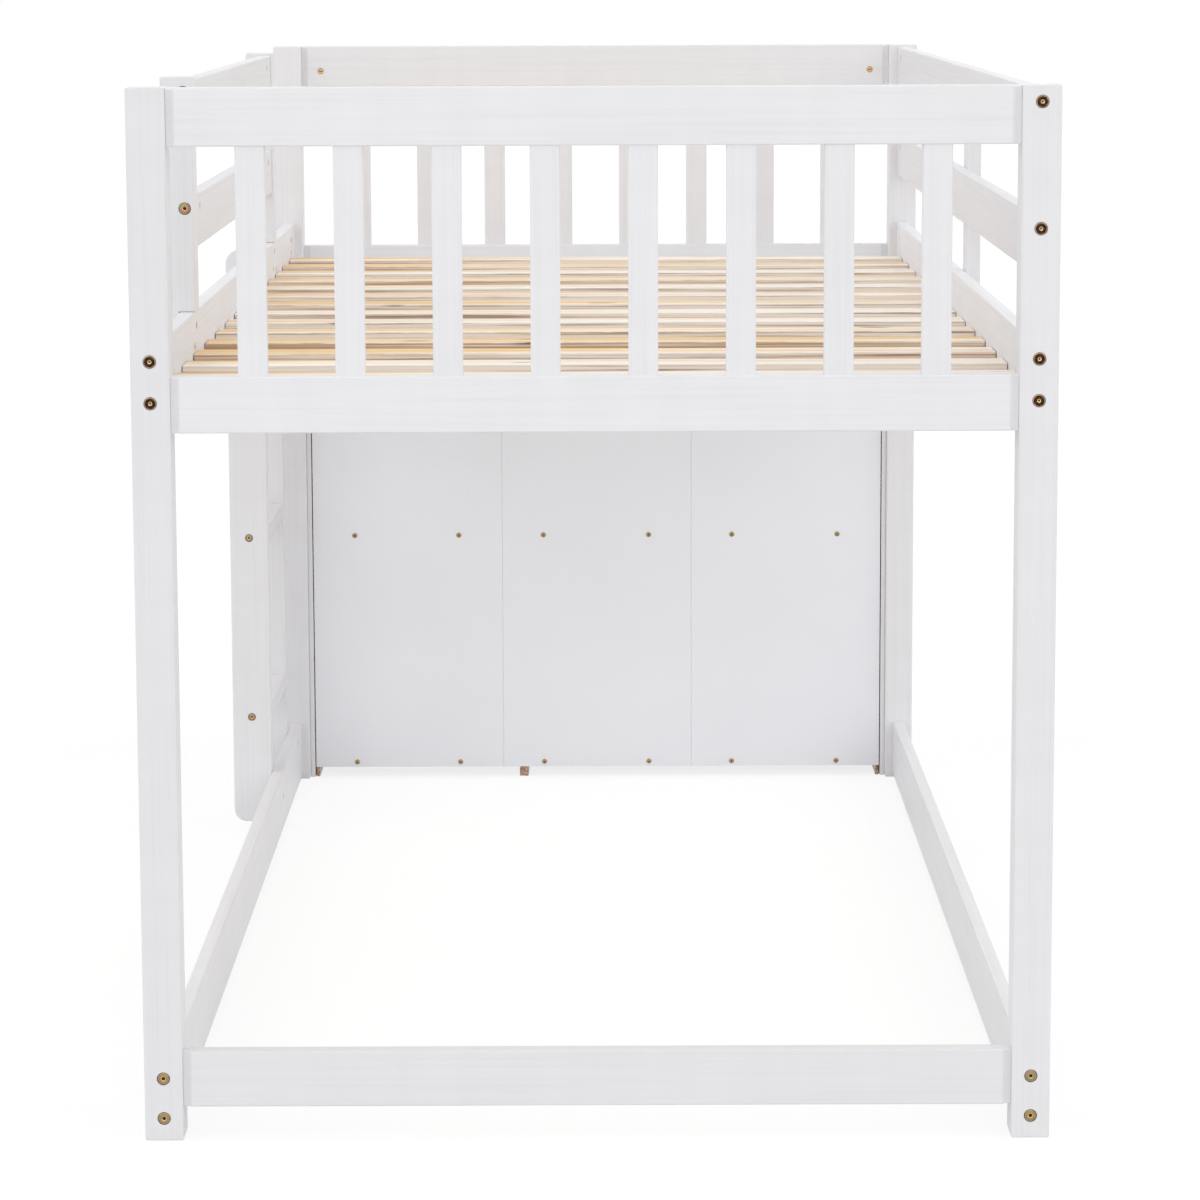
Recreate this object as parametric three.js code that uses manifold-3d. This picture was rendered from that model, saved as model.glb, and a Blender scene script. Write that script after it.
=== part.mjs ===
// A white pine bunk bed: a raised slatted bed on four posts, with guard rails, a
// ladder and a cabinet of shelves and drawers that starts below its far end.
// Millimetres, +Z up, +Y along the bed towards the cabinet, the ladder on the -X side.
// The origin lies on the floor, under the middle of the whole outline.

import * as THREE from 'three';
import { mergeVertices } from 'three/addons/utils/BufferGeometryUtils.js';
import Module from 'manifold-3d';

const wasm = await Module();
wasm.setup();

// Driving dimensions: how pieces meet
const SEAT = 0.2; // gap left where one fixed piece butts against another
const EASE = 2.5; // width of the chamfer on the edges of posts and rails
const SMALL_EASE = 0.8; // the same on cabinet panels, slats and drawers

// Driving dimensions: posts and long rails
const POST_SIDE = 45;
const POST_HEIGHT = 1232;
const POST_EASE = 3.5;
const RAIL_LENGTH = 1900; // the long rails, which fill the length between the posts
const RAIL_THICKNESS = 18;
const MATTRESS_ROOM = 999; // clear width between the two long rails
const DECK_RAIL_BOTTOM = 850;
const DECK_RAIL_HEIGHT = 90;
const LOW_RAIL_BOTTOM = 5;
const LOW_RAIL_HEIGHT = 90;

// Driving dimensions: the two ends
const END_RAIL_THICKNESS = 20;
const END_SET_BACK = 3; // how far the end rails stand back from the posts' outer faces
const END_TOP_RAIL_HEIGHT = 67;
const END_DECK_RAIL_DROP = 13; // its lower edge lies this far below the long rails'
const END_DECK_RAIL_HEIGHT = 65;
const END_LOW_RAIL_BOTTOM = 40;
const END_LOW_RAIL_HEIGHT = 67;
const END_RAIL_SLOPE_WIDTH = 8.5; // the sloped strip where an end rail meets a post
const END_RAIL_SLOPE_DEPTH = 4.5;
const BALUSTER_COUNT = 8;
const BALUSTER_WIDTH = 34;
const BALUSTER_THICKNESS = 16;
const BALUSTER_EASE = 3.5;

// Driving dimensions: guard rails
const GUARD_RAIL_HEIGHT = 67;
const GUARD_TOP_DROP = 4; // the top guard rails lie this far below the posts' tops
const GUARD_POST_SIDE = 40;
const GUARD_POST_PROUD = 2.5; // how far it stands inward of the deck rail's inner face
const GUARD_POST_LAP = 84; // how far a guard post's tongue runs down outside the rail
const NEAR_GAP = 347; // open length before the first left guard post
const LADDER_OPENING = 377; // open length after the second left guard post
const UPRIGHT_WIDTH = 45;
const UPRIGHT_THICKNESS = 20;
const UPRIGHT_FOOT_RISE = 8; // above the deck rail's lower edge
const UPRIGHT_TOP_DROP = 20; // below the top guard rail's upper edge
const UPRIGHT_Y = -15; // the right upright's middle, from the middle of the bed

// Driving dimensions: slatted deck
const SLAT_COUNT = 14;
const SLAT_WIDTH = 57.5;
const SLAT_THICKNESS = 18;
const SLAT_END_CLEARANCE = 1;
const SLAT_FROM_END = 96.5; // the first slat's middle, from the end of the long rails
const SLAT_DROP = 51; // the slats lie this far below the long rails' upper edges
const LEDGER_WIDTH = 20;
const LEDGER_HEIGHT = 20;
const SLAT_HOUSING = 1; // depth to which the slats are let into the ledgers

// Driving dimensions: ladder
const LADDER_WIDTH = 310;
const LADDER_GUARD_GAP = 2; // between the second guard post and the near stringer
const LADDER_FOOT = 15;
const LADDER_TOP_DROP = 15; // the ladder ends this far below the deck rail's upper edge
const STRINGER_WIDTH = 60;
const STRINGER_THICKNESS = 18;
const STRINGER_END_RADIUS = 20;
const TREAD_COUNT = 3;
const TREAD_FIRST = 184;
const TREAD_RISE = 287;
const TREAD_THICKNESS = 24;
const TREAD_INSET = 1.5; // the treads stop short of the stringers' outer edges

// Driving dimensions: cabinet
const PANEL = 15;
const CABINET_DEPTH = 400;
const CABINET_SET_BACK = 15; // its back lies this far behind the far posts' near faces
const CABINET_HEADROOM = 27; // between the cabinet's top and the far deck rail
const CABINET_FIRST_SHELF = 18; // underside of the bottom boards
const CABINET_BAYS = 2; // one above the other, with a middle board between them
const NARROW_COLUMN = 339; // clear width of the open shelves
const BACK_THICKNESS = 3;
const BACK_BOTTOM = 17;
const BACK_TOP_INSET = 1; // the back stops this far below the top board's upper face
const BACK_LAP = 7.4; // width of the rebate in each side panel that the back lies in
const BACK_SIDE_GAP = 1.6; // open seam between the back's edge and the rebate's wall
const BACK_FIT = 0.3;
const BACK_BOARDS = 3;
const BACK_GROOVE_WIDTH = 1.4;
const BACK_GROOVE_DEPTH = 1.8;

// Driving dimensions: drawers
const DRAWERS_PER_BAY = 2;
const FRONT_THICKNESS = 16;
const FRONT_GAP = 3; // around each drawer front
const BOX_HEIGHT = 130;
const BOX_SIDE = 15;
const BOX_END = 12;
const BOX_FLOOR = 5;
const BOX_FLOOR_RISE = 8; // the drawer's floor sits in from the lower edges
const BOX_SIDE_GAP = 4; // between a drawer's side and the cabinet
const BOX_LIFT = 22; // the box stands this far above its front's lower edge
const BOX_REAR_GAP = 18;
const RUNNER_HEIGHT = 14;
const RUNNER_RISE = 50; // a runner's underside, above the box's underside
const RUNNER_ENGAGEMENT = 6.5; // how far a runner reaches into the drawer's groove
const RUNNER_ROOT = 1; // depth to which a runner is let into its panel
const RUNNER_END_GAP = 4; // between a runner's front end and the drawer front
const GROOVE_CLEARANCE = 0.7; // beside and below a runner in its groove
const SLIDE_GAP = 0.3; // above a runner, where the drawer rests
const KNOB_DIAMETER = 32;
const KNOB_PROJECTION = 24;
const KNOB_NECK_DIAMETER = 17;
const KNOB_FROM_EDGE = 150;
const KNOB_SEGMENTS = 20;
const KNOB_ROOT = 1; // the knob's neck is sunk this far into the front

// Places worked out from the driving dimensions
const postCentreX = MATTRESS_ROOM / 2 + RAIL_THICKNESS / 2;
const postInnerX = postCentreX - POST_SIDE / 2;
const postInnerY = RAIL_LENGTH / 2 + SEAT;
const postOuterY = postInnerY + POST_SIDE;
const railInnerX = MATTRESS_ROOM / 2;
const railOuterX = railInnerX + RAIL_THICKNESS;
const deckRailTop = DECK_RAIL_BOTTOM + DECK_RAIL_HEIGHT;
const secondGuardPostFar = postInnerY - LADDER_OPENING;
const endDeckRail = [
  DECK_RAIL_BOTTOM - END_DECK_RAIL_DROP,
  DECK_RAIL_BOTTOM - END_DECK_RAIL_DROP + END_DECK_RAIL_HEIGHT,
];
const slatTop = deckRailTop - SLAT_DROP;

// Materials, one for each piece
const FINISHES = {
  paint: { color: 0xe8e8e9, roughness: 0.45, metalness: 0 },
  pine: { color: 0xefd9b4, roughness: 0.6, metalness: 0 },
  hardboard: { color: 0xdedee0, roughness: 0.55, metalness: 0 },
  drawerWood: { color: 0xe9d6b8, roughness: 0.6, metalness: 0 },
};

const bed = new THREE.Group();

function addPiece(name, geometry, finish) {
  const mesh = new THREE.Mesh(geometry, new THREE.MeshStandardMaterial(FINISHES[finish]));
  mesh.name = name;
  bed.add(mesh);
}

// Solids for joining and cutting
function toSolid(geometry) {
  const bare = geometry.clone();
  bare.deleteAttribute('normal');
  bare.deleteAttribute('uv');
  const merged = mergeVertices(bare);
  const vertProperties = new Float32Array(merged.attributes.position.array);
  const triVerts = new Uint32Array(merged.index.array);
  return new wasm.Manifold(new wasm.Mesh({ numProp: 3, vertProperties, triVerts }));
}

function toGeometry(solid) {
  const mesh = solid.getMesh();
  const geometry = new THREE.BufferGeometry();
  geometry.setAttribute('position', new THREE.BufferAttribute(mesh.vertProperties, 3));
  geometry.setIndex(new THREE.BufferAttribute(mesh.triVerts, 1));
  geometry.computeVertexNormals();
  return geometry;
}

function joined(geometries) {
  return toGeometry(geometries.map(toSolid).reduce((whole, solid) => whole.add(solid)));
}

function cut(geometry, cutters) {
  const cutSolids = cutters.map(toSolid);
  return toGeometry(cutSolids.reduce((whole, solid) => whole.subtract(solid), toSolid(geometry)));
}

// A plain block between two values on each axis
function block([x0, x1], [y0, y1], [z0, z1]) {
  const geometry = new THREE.BoxGeometry(x1 - x0, y1 - y0, z1 - z0);
  geometry.translate((x0 + x1) / 2, (y0 + y1) / 2, (z0 + z1) / 2);
  return geometry;
}

// A closed outline through points, in order
function outline(points) {
  return new THREE.Shape(points.map(([x, y]) => new THREE.Vector2(x, y)));
}

// An outline extruded from one height to another, with its end edges eased
function prism(shape, low, high, ease) {
  const geometry = new THREE.ExtrudeGeometry(shape, {
    depth: high - low - 2 * ease,
    bevelEnabled: ease > 0,
    bevelThickness: ease,
    bevelSize: ease,
    bevelOffset: -ease,
    bevelSegments: 1,
    curveSegments: 6,
  });
  geometry.translate(0, 0, low + ease);
  return geometry;
}

// A rectangle about the middle with its corners cut off
function easedRectangle(width, height, ease) {
  const x = width / 2;
  const y = height / 2;
  return outline([
    [-x + ease, -y], [x - ease, -y], [x, -y + ease], [x, y - ease],
    [x - ease, y], [-x + ease, y], [-x, y - ease], [-x, -y + ease],
  ]);
}

// A board between two values on each axis, every edge eased, grain along one axis
function board([x0, x1], [y0, y1], [z0, z1], grain, ease = EASE) {
  const size = { x: x1 - x0, y: y1 - y0, z: z1 - z0 };
  const section = {
    x: [size.z, size.y],
    y: [size.x, size.z],
    z: [size.x, size.y],
  }[grain];
  const half = size[grain] / 2;
  const geometry = prism(easedRectangle(...section, ease), -half, half, ease);
  if (grain === 'x') geometry.rotateY(Math.PI / 2);
  if (grain === 'y') geometry.rotateX(-Math.PI / 2);
  geometry.translate((x0 + x1) / 2, (y0 + y1) / 2, (z0 + z1) / 2);
  return geometry;
}

// The span of one side of the bed: -1 is the near or left side, 1 the far or right
function mirrored(side, inner, outer) {
  return side < 0 ? [-outer, -inner] : [inner, outer];
}

function addPosts() {
  for (const [end, endSide] of [['near', -1], ['far', 1]]) {
    for (const [hand, handSide] of [['left', -1], ['right', 1]]) {
      const x = mirrored(handSide, postInnerX, postInnerX + POST_SIDE);
      const y = mirrored(endSide, postInnerY, postOuterY);
      addPiece(`post_${end}_${hand}`, board(x, y, [0, POST_HEIGHT], 'z', POST_EASE), 'paint');
    }
  }
}

// An end rail, seen from above: its faces slope back just before the posts
function endRail(endSide, low, high) {
  const x = postInnerX - SEAT;
  const flat = x - END_RAIL_SLOPE_WIDTH;
  const outer = postOuterY - END_SET_BACK;
  const inner = outer - END_RAIL_THICKNESS;
  const slopedOuter = outer - END_RAIL_SLOPE_DEPTH;
  const slopedInner = inner + END_RAIL_SLOPE_DEPTH;
  const shape = outline([
    [-x, slopedInner], [-flat, inner], [flat, inner], [x, slopedInner],
    [x, slopedOuter], [flat, outer], [-flat, outer], [-x, slopedOuter],
  ]);
  const geometry = prism(shape, low, high, EASE);
  if (endSide < 0) geometry.rotateZ(Math.PI);
  return geometry;
}

function addEnd(end, endSide) {
  const topRailBottom = POST_HEIGHT - END_TOP_RAIL_HEIGHT;
  addPiece(`${end}_top_rail`, endRail(endSide, topRailBottom, POST_HEIGHT), 'paint');
  addPiece(`${end}_deck_rail`, endRail(endSide, ...endDeckRail), 'paint');

  const middle = postOuterY - END_SET_BACK - END_RAIL_THICKNESS / 2;
  const y = mirrored(endSide, middle - BALUSTER_THICKNESS / 2, middle + BALUSTER_THICKNESS / 2);
  const z = [endDeckRail[1] + SEAT, topRailBottom - SEAT];
  const gap = (2 * postInnerX - BALUSTER_COUNT * BALUSTER_WIDTH) / (BALUSTER_COUNT + 1);
  for (let i = 0; i < BALUSTER_COUNT; i += 1) {
    const x = -postInnerX + gap + i * (gap + BALUSTER_WIDTH);
    const geometry = board([x, x + BALUSTER_WIDTH], y, z, 'z', BALUSTER_EASE);
    addPiece(`${end}_baluster_${i + 1}`, geometry, 'paint');
  }
}

function addNearLowRail() {
  const top = END_LOW_RAIL_BOTTOM + END_LOW_RAIL_HEIGHT;
  addPiece('near_low_rail', endRail(-1, END_LOW_RAIL_BOTTOM, top), 'paint');
}

function addSideRails() {
  const y = [-RAIL_LENGTH / 2, RAIL_LENGTH / 2];
  for (const [hand, side] of [['left', -1], ['right', 1]]) {
    const x = mirrored(side, railInnerX, railOuterX);
    const deck = [DECK_RAIL_BOTTOM, deckRailTop];
    const low = [LOW_RAIL_BOTTOM, LOW_RAIL_BOTTOM + LOW_RAIL_HEIGHT];
    addPiece(`deck_side_rail_${hand}`, board(x, y, deck, 'y'), 'paint');
    addPiece(`low_side_rail_${hand}`, board(x, y, low, 'y'), 'paint');
  }
}

// The guard's middle rail halves the space between the deck rail and the top rail
const guardTopRailTop = POST_HEIGHT - GUARD_TOP_DROP;
const guardTopRail = [guardTopRailTop - GUARD_RAIL_HEIGHT, guardTopRailTop];
const guardGap = (guardTopRail[0] - deckRailTop - GUARD_RAIL_HEIGHT) / 2;
const guardMidRail = [deckRailTop + guardGap, deckRailTop + guardGap + GUARD_RAIL_HEIGHT];

function addRightGuard() {
  const x = [railInnerX, railOuterX];
  const y = [-RAIL_LENGTH / 2, RAIL_LENGTH / 2];
  addPiece('guard_right_top_rail', board(x, y, guardTopRail, 'y'), 'paint');
  addPiece('guard_right_mid_rail', board(x, y, guardMidRail, 'y'), 'paint');

  const upright = board(
    [railOuterX + SEAT, railOuterX + SEAT + UPRIGHT_THICKNESS],
    [UPRIGHT_Y - UPRIGHT_WIDTH / 2, UPRIGHT_Y + UPRIGHT_WIDTH / 2],
    [DECK_RAIL_BOTTOM + UPRIGHT_FOOT_RISE, guardTopRailTop - UPRIGHT_TOP_DROP],
    'z',
  );
  addPiece('guard_right_upright', upright, 'paint');
}

// A short post that stands on the long rail from y on, its tongue lapped over the outer face
function guardPost(y) {
  const inner = -railInnerX + GUARD_POST_PROUD;
  const span = [y, y + GUARD_POST_SIDE];
  const height = [deckRailTop - GUARD_POST_LAP, POST_HEIGHT];
  const whole = board([inner - GUARD_POST_SIDE, inner], span, height, 'z');
  const notch = block(
    [-railOuterX - SEAT, inner + GUARD_POST_SIDE],
    [span[0] - GUARD_POST_SIDE, span[1] + GUARD_POST_SIDE],
    [0, deckRailTop + SEAT],
  );
  return cut(whole, [notch]);
}

function addLeftGuard() {
  const first = -postInnerY + NEAR_GAP;
  const second = secondGuardPostFar - GUARD_POST_SIDE;
  addPiece('guard_left_post_1', guardPost(first), 'paint');
  addPiece('guard_left_post_2', guardPost(second), 'paint');

  const x = [-railOuterX, -railInnerX];
  const y = [first + GUARD_POST_SIDE + SEAT, second - SEAT];
  addPiece('guard_left_top_rail', board(x, y, guardTopRail, 'y'), 'paint');
  addPiece('guard_left_mid_rail', board(x, y, guardMidRail, 'y'), 'paint');
}

// Slats let into two ledgers, which are screwed to the long rails
function addSlatDeck() {
  const slatBottom = slatTop - SLAT_THICKNESS;
  const ledgerTop = slatBottom + SLAT_HOUSING;
  const ledgerLength = [-RAIL_LENGTH / 2 + SEAT, RAIL_LENGTH / 2 - SEAT];
  const pieces = [-1, 1].map((side) => block(
    mirrored(side, railInnerX - SEAT - LEDGER_WIDTH, railInnerX - SEAT),
    ledgerLength,
    [ledgerTop - LEDGER_HEIGHT, ledgerTop],
  ));
  const halfLength = railInnerX - SLAT_END_CLEARANCE;
  for (let i = 0; i < SLAT_COUNT; i += 1) {
    const y = (RAIL_LENGTH - 2 * SLAT_FROM_END) * (i / (SLAT_COUNT - 1) - 0.5);
    pieces.push(board(
      [-halfLength, halfLength],
      [y - SLAT_WIDTH / 2, y + SLAT_WIDTH / 2],
      [slatBottom, slatTop],
      'x',
      SMALL_EASE,
    ));
  }
  addPiece('slat_deck', joined(pieces), 'pine');
}

// A ladder stringer, seen along the bed: a board with rounded ends
function stringer(yLow) {
  const inner = -railOuterX - SEAT;
  const outer = inner - STRINGER_WIDTH;
  const top = deckRailTop - LADDER_TOP_DROP;
  const r = STRINGER_END_RADIUS;
  const quarter = Math.PI / 2;
  const shape = new THREE.Shape();
  shape.absarc(inner - r, LADDER_FOOT + r, r, -quarter, 0, false);
  shape.absarc(inner - r, top - r, r, 0, quarter, false);
  shape.absarc(outer + r, top - r, r, quarter, 2 * quarter, false);
  shape.absarc(outer + r, LADDER_FOOT + r, r, 2 * quarter, 3 * quarter, false);
  const geometry = prism(shape, 0, STRINGER_THICKNESS, EASE);
  geometry.rotateX(quarter);
  geometry.translate(0, yLow + STRINGER_THICKNESS, 0);
  return geometry;
}

function addLadder() {
  const near = secondGuardPostFar + LADDER_GUARD_GAP;
  const far = near + LADDER_WIDTH;
  addPiece('ladder_stringer_near', stringer(near), 'paint');
  addPiece('ladder_stringer_far', stringer(far - STRINGER_THICKNESS), 'paint');

  const inner = -railOuterX - SEAT;
  const x = [inner - STRINGER_WIDTH + TREAD_INSET, inner];
  const y = [near + STRINGER_THICKNESS + SEAT, far - STRINGER_THICKNESS - SEAT];
  for (let i = 0; i < TREAD_COUNT; i += 1) {
    const z = TREAD_FIRST + i * TREAD_RISE;
    const tread = board(x, y, [z - TREAD_THICKNESS / 2, z + TREAD_THICKNESS / 2], 'y', BALUSTER_EASE);
    addPiece(`ladder_tread_${i + 1}`, tread, 'paint');
  }
}

// Cabinet places
const cabinetBack = postInnerY + CABINET_SET_BACK;
const cabinetFront = cabinetBack + CABINET_DEPTH;
const cabinetOuterX = postInnerX - SEAT;
const cabinetInnerX = cabinetOuterX - PANEL;
const panelRear = cabinetBack + BACK_THICKNESS + BACK_FIT;
const dividerLeft = -cabinetInnerX + NARROW_COLUMN;
const dividerRight = dividerLeft + PANEL;
const topBoard = [endDeckRail[0] - CABINET_HEADROOM - PANEL, endDeckRail[0] - CABINET_HEADROOM];
const bayPitch = (topBoard[0] - CABINET_FIRST_SHELF) / CABINET_BAYS;
const midShelf = CABINET_FIRST_SHELF + bayPitch;
const frontRear = cabinetFront - FRONT_THICKNESS;

// Each bay of the wide column holds its drawers one above the other
function drawerPlaces() {
  const places = [];
  const clear = bayPitch - PANEL;
  const frontHeight = (clear - FRONT_GAP * (DRAWERS_PER_BAY + 1)) / DRAWERS_PER_BAY;
  for (let bay = 0; bay < CABINET_BAYS; bay += 1) {
    const low = CABINET_FIRST_SHELF + bay * bayPitch + PANEL;
    for (let i = 0; i < DRAWERS_PER_BAY; i += 1) {
      const frontLow = low + FRONT_GAP + i * (frontHeight + FRONT_GAP);
      places.push({ frontLow, frontHigh: frontLow + frontHeight, boxLow: frontLow + BOX_LIFT });
    }
  }
  return places;
}

const runnerReach = BOX_SIDE_GAP + RUNNER_ENGAGEMENT;

// The runners on one upright panel, one for each drawer
function runners(side, face) {
  const root = face + side * RUNNER_ROOT;
  const tip = face - side * runnerReach;
  const x = [Math.min(root, tip), Math.max(root, tip)];
  const y = [panelRear + SMALL_EASE, frontRear - RUNNER_END_GAP];
  return drawerPlaces().map(({ boxLow }) => {
    const low = boxLow + RUNNER_RISE;
    return block(x, y, [low, low + RUNNER_HEIGHT]);
  });
}

// A side panel, seen from above, with the rebate for the back along its inner rear edge
function sidePanel(side) {
  const rebate = cabinetInnerX + BACK_LAP;
  const points = [
    [cabinetOuterX, cabinetBack], [cabinetOuterX, cabinetFront],
    [cabinetInnerX, cabinetFront], [cabinetInnerX, panelRear],
    [rebate, panelRear], [rebate, cabinetBack],
  ];
  const shape = outline(points.map(([x, y]) => [side * x, y]));
  return prism(shape, 0, topBoard[0] - SEAT, 0);
}

function addCabinetPanels() {
  addPiece('cabinet_side_left', sidePanel(-1), 'paint');
  addPiece('cabinet_side_right', joined([sidePanel(1), ...runners(1, cabinetInnerX)]), 'paint');

  const depth = [panelRear, cabinetFront];
  const divider = block([dividerLeft, dividerRight], depth, [0, topBoard[0] - SEAT]);
  addPiece('cabinet_divider', joined([divider, ...runners(-1, dividerRight)]), 'paint');

  const columns = {
    left: [-cabinetInnerX + SEAT, dividerLeft - SEAT],
    right: [dividerRight + SEAT, cabinetInnerX - SEAT],
  };
  for (const [hand, x] of Object.entries(columns)) {
    for (const [level, z] of [['bottom', CABINET_FIRST_SHELF], ['shelf', midShelf]]) {
      const shelf = board(x, depth, [z, z + PANEL], 'x', SMALL_EASE);
      addPiece(`cabinet_${level}_${hand}`, shelf, 'paint');
    }
  }
  const top = board([-cabinetOuterX, cabinetOuterX], depth, topBoard, 'x', SMALL_EASE);
  addPiece('cabinet_top', top, 'paint');
}

// The back, seen from above: boards of one sheet, parted by grooves in the near face
function addCabinetBack() {
  const half = cabinetInnerX + BACK_LAP - BACK_SIDE_GAP;
  const boardWidth = (2 * half) / BACK_BOARDS;
  const near = cabinetBack;
  const points = [[-half, near]];
  for (let i = 1; i < BACK_BOARDS; i += 1) {
    const x = -half + i * boardWidth;
    points.push([x - BACK_GROOVE_WIDTH / 2, near]);
    points.push([x, near + BACK_GROOVE_DEPTH]);
    points.push([x + BACK_GROOVE_WIDTH / 2, near]);
  }
  points.push([half, near], [half, near + BACK_THICKNESS], [-half, near + BACK_THICKNESS]);
  const top = topBoard[1] - BACK_TOP_INSET;
  addPiece('cabinet_back', prism(outline(points), BACK_BOTTOM, top, 0), 'hardboard');
}

// A round knob that points along +Y, its neck's root in the front's outer face
function knob(x, z) {
  const neck = KNOB_NECK_DIAMETER / 2;
  const head = KNOB_DIAMETER / 2;
  const profile = [
    [0, -KNOB_ROOT], [neck, -KNOB_ROOT], [neck * 0.85, KNOB_PROJECTION * 0.35],
    [head * 0.9, KNOB_PROJECTION * 0.5], [head, KNOB_PROJECTION * 0.7],
    [head * 0.75, KNOB_PROJECTION * 0.93], [0, KNOB_PROJECTION],
  ].map(([radius, y]) => new THREE.Vector2(radius, y));
  const geometry = new THREE.LatheGeometry(profile, KNOB_SEGMENTS);
  geometry.translate(x, cabinetFront, z);
  return geometry;
}

function drawerFront({ frontLow, frontHigh }) {
  const x = [dividerRight + FRONT_GAP, cabinetInnerX - FRONT_GAP];
  const panel = board(x, [frontRear, cabinetFront], [frontLow, frontHigh], 'x', SMALL_EASE);
  const z = (frontLow + frontHigh) / 2;
  return joined([panel, knob(x[0] + KNOB_FROM_EDGE, z), knob(x[1] - KNOB_FROM_EDGE, z)]);
}

// A drawer's box: hollow above its floor, with a groove along each side for its runner
function drawerBox({ boxLow }) {
  const x = [dividerRight + BOX_SIDE_GAP, cabinetInnerX - BOX_SIDE_GAP];
  const y = [panelRear + BOX_REAR_GAP, frontRear - SEAT];
  const whole = board(x, y, [boxLow, boxLow + BOX_HEIGHT], 'y', SMALL_EASE);
  const inside = [[x[0] + BOX_SIDE, x[1] - BOX_SIDE], [y[0] + BOX_END, y[1] - BOX_END]];
  const floorTop = boxLow + BOX_FLOOR_RISE + BOX_FLOOR;
  const hollow = block(...inside, [floorTop, boxLow + 2 * BOX_HEIGHT]);
  const recess = block(...inside, [boxLow - BOX_HEIGHT, boxLow + BOX_FLOOR_RISE]);
  const low = boxLow + RUNNER_RISE;
  const groove = [low - GROOVE_CLEARANCE, low + RUNNER_HEIGHT + SLIDE_GAP];
  const reach = RUNNER_ENGAGEMENT + GROOVE_CLEARANCE;
  const length = [y[0] - BOX_SIDE, y[1] + BOX_SIDE];
  return cut(whole, [
    hollow,
    recess,
    block([x[0] - BOX_SIDE, x[0] + reach], length, groove),
    block([x[1] - reach, x[1] + BOX_SIDE], length, groove),
  ]);
}

function addDrawers() {
  drawerPlaces().forEach((place, i) => {
    addPiece(`drawer_front_${i + 1}`, drawerFront(place), 'paint');
    addPiece(`drawer_box_${i + 1}`, drawerBox(place), 'drawerWood');
  });
}

addPosts();
addEnd('near', -1);
addEnd('far', 1);
addNearLowRail();
addSideRails();
addRightGuard();
addLeftGuard();
addSlatDeck();
addLadder();
addCabinetPanels();
addCabinetBack();
addDrawers();

// Set the whole outline over the origin
const whole = new THREE.Box3().setFromObject(bed);
const centre = whole.getCenter(new THREE.Vector3());
bed.position.set(-centre.x, -centre.y, -whole.min.z);

export default bed;
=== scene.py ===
import math
import random
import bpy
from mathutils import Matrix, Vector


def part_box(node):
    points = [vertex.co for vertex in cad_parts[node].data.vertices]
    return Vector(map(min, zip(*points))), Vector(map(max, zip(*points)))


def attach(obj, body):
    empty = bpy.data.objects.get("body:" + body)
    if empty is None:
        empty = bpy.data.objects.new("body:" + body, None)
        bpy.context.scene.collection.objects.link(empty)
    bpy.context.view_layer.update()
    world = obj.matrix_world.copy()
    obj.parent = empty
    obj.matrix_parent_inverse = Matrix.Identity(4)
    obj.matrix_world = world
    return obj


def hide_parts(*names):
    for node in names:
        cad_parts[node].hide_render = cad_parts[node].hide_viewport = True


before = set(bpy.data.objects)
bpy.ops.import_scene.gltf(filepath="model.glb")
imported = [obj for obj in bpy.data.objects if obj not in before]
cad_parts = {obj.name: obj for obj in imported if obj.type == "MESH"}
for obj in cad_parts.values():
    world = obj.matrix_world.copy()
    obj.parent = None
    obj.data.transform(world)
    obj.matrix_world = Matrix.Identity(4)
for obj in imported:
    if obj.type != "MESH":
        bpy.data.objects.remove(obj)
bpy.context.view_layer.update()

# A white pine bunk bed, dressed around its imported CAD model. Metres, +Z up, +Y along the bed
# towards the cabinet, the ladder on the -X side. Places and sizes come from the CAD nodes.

import zlib

import bmesh
import bpy
from mathutils import Matrix, Vector

MM = 0.001
X, Y, Z = 0, 1, 2

# Camera: where it stood for the photograph
CAMERA_PLACE = (0.0259, -5.4252, 1.377)
CAMERA_TILT = 82.371  # degrees from straight down
CAMERA_ROLL = -0.20  # degrees: it leaned a little to its right
CAMERA_SENSOR = 36.0
CAMERA_LENS = 111.79
CAMERA_SHIFT_UP = -0.12

# Studio: each lamp's compass side (0 is the camera's side, 90 the +X side), its height and
# its width in degrees, and its share of the light that makes a surface look as it is written
LAMPS = {
    "front_lamp": (0, 12, 50, 0.185),
    "left_lamp": (-75, 35, 60, 0.29),
    "right_lamp": (75, 35, 60, 0.28),
    "rear_lamp": (165, 35, 60, 0.10),
}
LAMP_DISTANCE = 4.0
AMBIENT = 0.60
FLOOR_SIZE = 60.0
FLOOR_COLOUR = 0.8
FLOOR_SHADOW_SHARE = 0.22  # how much of the floor's own light the camera sees under its white
FLOOR_WHITE = 0.80

GLOSS = 0.3  # the specular level of every material

# Edges: angles in degrees, and the radius of each kind of piece
ROUND_STEPS = 4
FINE_ROUND_STEPS = 2
CORNER_ANGLE = 50  # an edge that turns by more is a corner, and gets rounded
ALONG_SHARE = 0.75  # an edge runs along an axis if more than this share of its length does
SHARP_ANGLE = 27  # the rounded edges turn by less at each step, and are shaded smooth
METAL_SHARP_ANGLE = 35
KNOB_SHARP_ANGLE = 50
POST_ROUND = 2.2 * MM
POST_END_ROUND = 2.5 * MM
RAIL_ROUND = 2.0 * MM
BALUSTER_ROUND = 2.2 * MM
TREAD_ROUND = 4.0 * MM
SLAT_ROUND = 1.2 * MM
STRIP_ROUND = 1.0 * MM  # of ledgers and runners
PANEL_ROUND = 0.8 * MM
DRAWER_FRONT_ROUND = 2.2 * MM
DRAWER_BOX_ROUND = 0.8 * MM
DRAWER_FLOOR_ROUND = 0.4 * MM
END_ROUND = 0.8 * MM  # at the ends of boards, which meet other boards

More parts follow.
